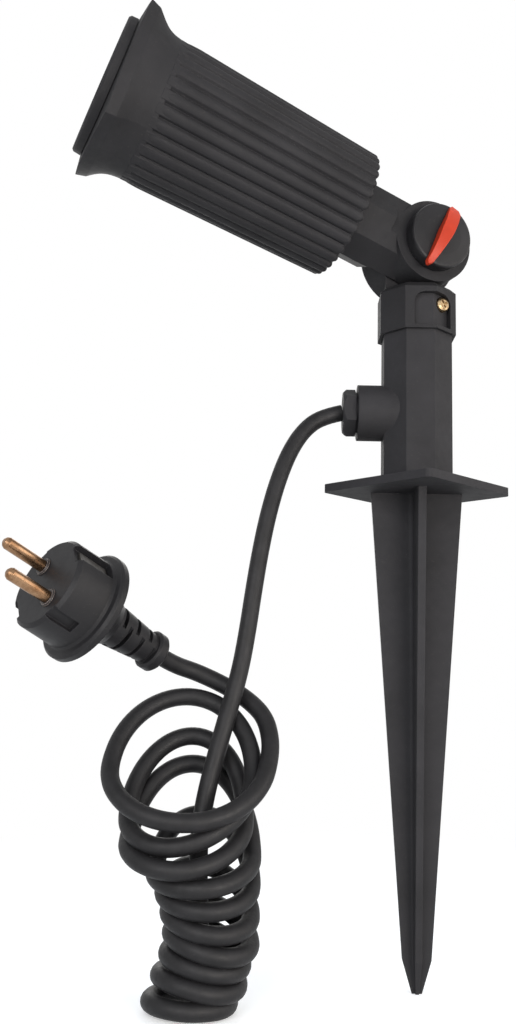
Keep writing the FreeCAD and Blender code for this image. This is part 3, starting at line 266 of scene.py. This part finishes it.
BLACK = (0.0134, 0.0131, 0.0144)
PLASTICS = {
    # Colour, roughness, and what differs from the plain finish
    "housing_plastic": (shade(BLACK, 0.95), 0.66, {"grain": 0.5}),
    "stem_plastic": (shade(BLACK, 1.3), 0.70, {"grain": 0.6, "depth": 0.016}),
    "joint_plastic": (BLACK, 0.68, {"grain": 0.45}),
    "knob_plastic": (shade(BLACK, 0.8), 0.42, {"grain": 0.3, "depth": 0.008}),
    "grip_red": ((0.305, 0.0245, 0.0082), 0.42, {"depth": 0.006, "edge": 0.5, "dust": 0.05}),
    "plug_rubber": (shade(BLACK, 0.8), 0.46, {"grain": 0.3, "depth": 0.010, "edge": 0.5}),
    "seal_rubber": (shade(BLACK, 0.8), 0.6, {"dust": 0.2}),
    "seal_plastic": ((0.42, 0.41, 0.38), 0.45, {"dust": 0.1}),
    # The collar's pale rim colour is a painted highlight along its edges, not rubbed wear
    "collar_plastic": ((0.020, 0.017, 0.016), 0.30, {"edge": 0.3, "dust": 0.1, "painted_rim_highlight": (0.60, 0.47, 0.42)}),
    "block_plastic": ((0.56, 0.55, 0.50), 0.42, {"dust": 0.1}),
    "wire_sleeve": ((0.22, 0.07, 0.025), 0.38, {"dust": 0.1}),
    "lamp_ceramic": ((0.62, 0.61, 0.57), 0.30, {"coat": 0.4, "dust": 0.1}),
}
# The plug's pins are drawn along their length, which this turns into line with Z
PLUG_TURN = (0, math.radians(-65.4), math.radians(-202.2))
METALS = {
    # Colour, roughness, colour of the tarnish, and what differs from the plain finish
    "screw_brass": ((0.45, 0.34, 0.20), 0.28, (0.16, 0.09, 0.045), {"scratch": 0.4, "patch": 1.4}),
    "pin_brass": ((0.31, 0.19, 0.11), 0.26, (0.17, 0.085, 0.04),
                  {"stretch": (1, 1, 0.08), "turn": PLUG_TURN}),
    "insert_brass": ((0.80, 0.62, 0.33), 0.28, (0.45, 0.31, 0.13), {}),
    "bolt_steel": ((0.58, 0.58, 0.60), 0.30, (0.40, 0.40, 0.40), {}),
    "bracket_steel": ((0.62, 0.62, 0.63), 0.34, (0.44, 0.44, 0.44), {}),
    # The clip's near-black colour is painted shade of the plug's recess that it sits in
    "clip_steel": ((0.11, 0.105, 0.10), 0.42, (0.06, 0.055, 0.05), {}),
    "pin_steel": ((0.62, 0.62, 0.62), 0.25, (0.48, 0.47, 0.45), {}),
}
MATERIALS = {
    **{name: moulded(name, *given, **rest) for name, (*given, rest) in PLASTICS.items()},
    "cord_rubber": sheath("cord_rubber", shade(BLACK, 0.60), 0.52),
    **{name: metal(name, *given, **rest) for name, (*given, rest) in METALS.items()},
    "lamp_mirror": facetted_mirror("lamp_mirror"),
    "burner_glass": clear("burner_glass", (0.97, 0.97, 0.96), 0.03, waves=0.05),
    "clear_glass": clear("clear_glass", (0.97, 0.985, 0.98), 0.0),
}


def dress(piece, slot):
    """Gives a piece its slot's material and no other."""
    piece.data.materials.clear()
    piece.data.materials.append(MATERIALS[slot])


def dress_nodes():
    """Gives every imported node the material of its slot."""
    for part in frame["record"]["subparts"]:
        dress(frame["nodes"][part["node"]], part["material_slot"])


# ---------------------------------------------------------------- ribs of the barrel

# The head's axis is turned from upright about the hinge's middle
HEAD_TURN = Matrix.Rotation(math.radians(-72.4), 4, "Y")
PIVOT = Vector((0, 0, 308.0))
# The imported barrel's ends along the head's axis, and its radii there
BARREL_BACK, BARREL_FRONT = 36.4, 129.3
BACK_RADIUS, FRONT_RADIUS = 27.2, 29.5
RIB_COUNT = 32
# Width of the groove that is left between two ribs
RIB_GAP = 1.1
# How far a rib's middle stands over the barrel, and how far its sides lie under it
RIB_CROWN = 0.45
RIB_DROP = 0.35
# How deep a rib reaches into the barrel's wall, along its length and at its nose
RIB_FOOT = 1.6
NOSE_FOOT = 3.6
NOSE_RADIUS = 1.5
NOSE_STEPS = 7
# How far the nose's middle stands out behind the barrel's back, and how far ahead of that its sides lie
NOSE_PROUD = 0.2
TONGUE = 1.2
# Along a rib from the flare to where its nose begins: place, and height over the barrel
RIB_RUN = [
    (BARREL_FRONT + 1, -0.6), (BARREL_FRONT - 1.5, -0.1), (BARREL_FRONT - 4, 0.22),
    (BARREL_FRONT - 8, RIB_CROWN), (BARREL_BACK + 5, RIB_CROWN)]
# The last section, sunk into the barrel's back wall
RIB_END = (BARREL_BACK + 0.1, 0.2 - NOSE_FOOT)
# Places across a rib, from one side to the other
ACROSS = (-1.0, -0.85, -0.6, -0.3, 0.0, 0.3, 0.6, 0.85, 1.0)


def rib_stations():
    """Along a rib's middle: place, height over the barrel, depth of foot, and shares of crown and tongue."""
    stations = [(*station, RIB_FOOT, 1, 0) for station in RIB_RUN]
    for step in range(NOSE_STEPS):
        angle = math.pi / 2 * step / (NOSE_STEPS - 1)
        place = BARREL_BACK - NOSE_PROUD + NOSE_RADIUS * (1 - math.sin(angle))
        stations.append((place, RIB_CROWN - NOSE_RADIUS * (1 - math.cos(angle)), NOSE_FOOT, 1, 1))
    return stations + [(*RIB_END, NOSE_FOOT, 0, 1)]


def rib_ring(middle, place, height, foot, crown, tongue):
    """A rib's section at one station: over its top from side to side, and back under its foot."""
    along = max(0.0, place - BARREL_BACK) / (BARREL_FRONT - BARREL_BACK)
    radius = BACK_RADIUS + (FRONT_RADIUS - BACK_RADIUS) * along
    half_angle = math.pi / RIB_COUNT - RIB_GAP / 2 / radius
    drops = [RIB_CROWN * across ** 2 + RIB_DROP * across ** 4 for across in ACROSS]
    top = [(across, height - crown * drop) for across, drop in zip(ACROSS, drops)]
    ring = []
    for across, rise in top + [(1.0, -foot), (-1.0, -foot)]:
        angle = middle + half_angle * across
        point = Vector(((radius + rise) * math.cos(angle), (radius + rise) * math.sin(angle),
                        place + tongue * TONGUE * across ** 2))
        ring.append((PIVOT + HEAD_TURN @ point) * MM)
    return ring


def build_ribs():
    """Rounded ribs between the barrel's grooves, each ending in a round nose at the barrel's back edge."""
    mesh = bmesh.new()
    for index in range(RIB_COUNT):
        middle = 2 * math.pi * (index + 0.5) / RIB_COUNT
        rings = [[mesh.verts.new(point) for point in rib_ring(middle, *station)]
                 for station in rib_stations()]
        count = len(rings[0])
        for near, far in zip(rings, rings[1:]):
            for corner in range(count):
                after = (corner + 1) % count
                face = mesh.faces.new((near[corner], near[after], far[after], far[corner]))
                face.smooth = corner < len(ACROSS) - 1
        mesh.faces.new(rings[0])
        mesh.faces.new(rings[-1])
    bmesh.ops.recalc_face_normals(mesh, faces=mesh.faces)
    ribs = put_mesh("barrel_ribs", mesh)
    dress(ribs, "housing_plastic")
    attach(ribs, "head")


# ---------------------------------------------------------------- supply cord

CORD_DIAMETER = 7.0
# From the gland down to the mouth of the coil, as the solid tube runs
CORD_ROUTE = [
    (-29.5, 12.2, 235.0), (-37.6, 15.3, 233.0), (-45.6, 15.6, 226.6), (-52.4, 14.7, 216.6),
    (-58.2, 13.0, 203.4), (-62.9, 11.5, 188.5), (-66.5, 10.2, 173.0), (-69.6, 9.0, 156.0),
    (-72.2, 8.0, 139.5), (-75.3, 7.1, 123.5), (-79.7, 6.3, 108.8), (-84.5, 5.0, 93.5),
    (-88.8, 3.8, 78.5), (-91.6, 2.3, 64.5), (-92.2, 1.0, 52.0)]
# Down inside the coil, turning out into its lowest turn
INNER_ROUTE = [(-91.4, 1.0, 38.0), (-90.6, 1.2, 24.0), (-89.8, 1.4, 12.5), (-85.0, 3.0, 6.2)]
# From the topmost loop round behind the run, and into the plug's sleeve
LEAD_ROUTE = [
    (-65.4, -2.0, 98.1), (-65.2, 4.5, 105.9), (-68.8, 11.5, 111.8), (-75.2, 17.5, 116.9),
    (-87.3, 23.3, 122.9), (-98.5, 22.2, 125.8), (-106.2, 19.0, 129.6)]
COIL_CENTRE = Vector((-90.0, 1.2, 0.0))
# The coil's own right and far sides, as the camera sees them
COIL_SIDE = Vector((0.9304, -0.3665, 0.0))
COIL_AWAY = Vector((0.3665, 0.9304, 0.0))
UP = Vector((0, 0, 1))
POINTS_PER_TURN = 16
# Each turn at its front: shift to the right, height, radius, degrees that its far side and its right side
# rise, and how much further its far side is pushed up
COIL_TURNS = [
    (-4.3, 3.1, 13.6, -4.8, -4.2, 1.7), (0.0, 12.0, 14.1, 4, -15.7, 3.7),
    (1.3, 18.7, 13.2, 5.7, -15, 2.7), (3.5, 26.0, 14.8, 9.4, -16, 1.9),
    (2.7, 34.5, 15.4, 15.2, -11.2, 2.3), (1.3, 43.2, 16.0, 17.8, -4.5, 8.5),
    (0.1, 51.9, 18.7, 16.6, 1.6, 22.0), (-8.4, 63.3, 22.4, 27.4, -0.9, 22.0),
    (-6.2, 75.6, 21.9, 40.8, 10.9, 10.1), (-7.7, 92.5, 30.4, 48.0, -2.2, 11.0)]
# The coil starts half a turn before its lowest front and ends a quarter turn after its topmost one
FIRST_TURN = -0.5
LAST_TURN = len(COIL_TURNS) - 1 + 0.25
STEPS_BETWEEN_POINTS = 6
BEVEL_STEPS = 7


def turn_sizes(position):
    """A turn's sizes at any place between two fronts."""
    below = max(0, min(len(COIL_TURNS) - 2, math.floor(position)))
    share = min(1.0, max(0.0, position - below))
    return [low + (high - low) * share for low, high in zip(COIL_TURNS[below], COIL_TURNS[below + 1])]


def coil_points():
    """The coil from its lowest turn to the right side of its topmost loop."""
    steps = round((LAST_TURN - FIRST_TURN) * POINTS_PER_TURN)
    # The curve runs inside its control points, so these lie further out by this factor
    widening = 2 / (1 + math.cos(2 * math.pi / POINTS_PER_TURN))
    points = []
    for step in range(steps + 1):
        position = FIRST_TURN + step / POINTS_PER_TURN
        shift, height, radius, rise, lean, lift = turn_sizes(position)
        angle = 2 * math.pi * position - math.pi / 2
        rise, lean = math.radians(rise), math.radians(lean)
        right = COIL_SIDE * math.cos(lean) + UP * math.sin(lean)
        away = COIL_AWAY * math.cos(rise) + UP * math.sin(rise)
        centre = COIL_CENTRE + COIL_SIDE * shift + UP * height
        point = centre + (right * math.cos(angle) + away * math.sin(angle)) * radius * widening
        points.append(point + UP * lift * max(0.0, math.sin(angle)))
    return points


def length_of(curve):
    """The length of a curve's middle line, measured along its own mesh."""
    depth, curve.data.bevel_depth = curve.data.bevel_depth, 0
    line = bpy.data.meshes.new_from_object(curve)
    curve.data.bevel_depth = depth
    ends = [[line.vertices[index].co for index in edge.vertices] for edge in line.edges]
    total = sum((first - second).length for first, second in ends)
    bpy.data.meshes.remove(line)
    return total


def make_cord(name):
    """The whole cord as one smooth curve, from the gland to the plug's sleeve."""
    data = bpy.data.curves.new(name, "CURVE")
    data.dimensions = "3D"
    # A point's radius times this depth is the cord's radius, so the curve's box follows its real thickness
    data.bevel_depth = 1.0
    data.bevel_resolution = BEVEL_STEPS
    data.use_fill_caps = True
    data.resolution_u = STEPS_BETWEEN_POINTS
    points = ([Vector(point) for point in CORD_ROUTE + INNER_ROUTE] + coil_points()
              + [Vector(point) for point in LEAD_ROUTE])
    spline = data.splines.new("NURBS")
    spline.points.add(len(points) - 1)
    for target, point in zip(spline.points, points):
        target.co = (*(point * MM), 1)
        target.radius = CORD_DIAMETER / 2 * MM
    spline.order_u = 3
    spline.use_endpoint_u = True
    spline.use_smooth = True
    return put(name, data)


def build_cord():
    """The cord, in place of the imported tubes, the coil's column and its loops."""
    cord = make_cord("mains_cord")
    dress(cord, "cord_rubber")
    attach(cord, "base")
    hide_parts("supply_cord", "cord_coil", "cord_loops", "plug_lead")
    round(length_of(cord), 3)


# ---------------------------------------------------------------- stage, light and camera

CAMERA_PLACE = (-223.6, -384.6, 118.5)
CAMERA_HEADING, CAMERA_RISE, CAMERA_ROLL = -21.5, 9.33, 1.38
# The lens in pixels of the photograph, whose taller side fills the sensor
PICTURE_HEIGHT = 1024
FOCAL_PIXELS = 1052
SENSOR = 36
NEAREST_SEEN = 10


def build_camera():
    """The photograph's viewpoint: close in front, low, and looking a little up."""
    heading, rise, roll = (math.radians(angle) for angle in (CAMERA_HEADING, CAMERA_RISE, CAMERA_ROLL))
    ahead = Vector((-math.sin(heading) * math.cos(rise), math.cos(heading) * math.cos(rise), math.sin(rise)))
    level = Vector((math.cos(heading), math.sin(heading), 0))
    upward = level.cross(ahead)
    right = level * math.cos(roll) + upward * math.sin(roll)
    top = upward * math.cos(roll) - level * math.sin(roll)
    data = bpy.data.cameras.new("camera")
    data.sensor_width = SENSOR
    data.lens = FOCAL_PIXELS / PICTURE_HEIGHT * data.sensor_width
    data.clip_start = NEAREST_SEEN * MM
    camera = put("camera", data)
    turn = Matrix((right, top, -ahead)).transposed().to_4x4()
    camera.matrix_world = Matrix.Translation(Vector(CAMERA_PLACE) * MM) @ turn
    bpy.context.scene.camera = camera


# The floor's half width in metres, its colour, the white added where it is seen, and how far from the spike's
# tip, in metres, it starts and ends turning to plain white
FLOOR_REACH = 3.0
FLOOR_COLOUR = (0.86, 0.86, 0.85)
FLOOR_GLOW = 0.35
FLOOR_NEAR, FLOOR_FAR = 0.15, 0.45
FLOOR_GRAIN = 40
WHITE = (1, 1, 1, 1)


def floor_material(name):
    """A pale floor with its shadows, which the camera and mirrors see turn to plain white further away."""
    made, tree, shader = new_material(name)
    place = coordinates(tree)
    grain = spread(tree, noise(tree, place, FLOOR_GRAIN), 0.3, 0.7)
    feed(tree, shader, {"Base Color": mix(tree, grain, shade(FLOOR_COLOUR, 0.985), FLOOR_COLOUR),
                        "Roughness": 0.9, "Specular IOR Level": 0.1})
    shown = seen_plainly(tree)
    glow = add(tree, "ShaderNodeEmission", {"Color": WHITE,
                                            "Strength": math_node(tree, "MULTIPLY", shown, FLOOR_GLOW)})
    close = add(tree, "ShaderNodeAddShader", {0: shader.outputs[0], 1: glow.outputs[0]})
    distance = add(tree, "ShaderNodeVectorMath", {0: place}, operation="LENGTH").outputs["Value"]
    away = math_node(tree, "MULTIPLY", shown, spread(tree, distance, FLOOR_NEAR, FLOOR_FAR))
    plain = add(tree, "ShaderNodeEmission", {"Color": WHITE, "Strength": 1.0})
    chosen = add(tree, "ShaderNodeMixShader", {0: away, 1: close.outputs[0], 2: plain.outputs[0]})
    tree.links.new(chosen.outputs[0], tree.nodes["Material Output"].inputs["Surface"])
    return made


def build_floor():
    """The pale floor that the object stands on."""
    mesh = bmesh.new()
    bmesh.ops.create_grid(mesh, x_segments=2, y_segments=2, size=FLOOR_REACH)
    floor = put_mesh("floor", mesh)
    floor.data.materials.append(floor_material("floor_white"))


SKY_COLOUR = (0.82, 0.90, 1.0, 1)
SKY_STRENGTH = 0.66


def build_world():
    """Soft cool light from all round, seen as plain white."""
    world = bpy.data.worlds.new("studio")
    bpy.context.scene.world = world
    world.use_nodes = True
    tree = world.node_tree
    tree.nodes.clear()
    soft = add(tree, "ShaderNodeBackground", {"Color": SKY_COLOUR, "Strength": SKY_STRENGTH})
    white = add(tree, "ShaderNodeBackground", {"Color": WHITE, "Strength": 1.0})
    shown = seen_plainly(tree)
    chosen = add(tree, "ShaderNodeMixShader", {0: shown, 1: soft.outputs[0], 2: white.outputs[0]})
    add(tree, "ShaderNodeOutputWorld", {"Surface": chosen.outputs[0]})


LAMPS = [
    # Name, place and side in metres, watts, colour: each looks at the middle of the object
    ("key", (-0.70, -0.65, 0.38), 0.55, 5.9, (1.0, 0.98, 0.98)),
    ("fill", (0.75, -0.55, 0.35), 0.70, 3.8, (1.0, 0.93, 0.86)),
    ("low", (0.08, -0.85, 0.06), 0.45, 10.5, (1.0, 0.94, 0.88)),
    ("back", (0.15, 0.80, 0.50), 0.60, 2.2, (1.0, 0.98, 0.95))]
LIT_PLACE = Vector((-0.06, 0.0, 0.20))


def build_lamps():
    """The square soft lamps of the table."""
    for name, place, side, power, colour in LAMPS:
        data = bpy.data.lights.new(name, "AREA")
        data.shape = "SQUARE"
        data.size = side
        data.energy = power
        data.color = colour
        lamp = put(name, data)
        lamp.location = place
        lamp.rotation_euler = (LIT_PLACE - Vector(place)).to_track_quat("-Z", "Y").to_euler()


bpy.context.scene.view_settings.view_transform = "Standard"
dress_nodes()
build_ribs()
build_cord()
build_floor()
build_world()
build_lamps()
build_camera()
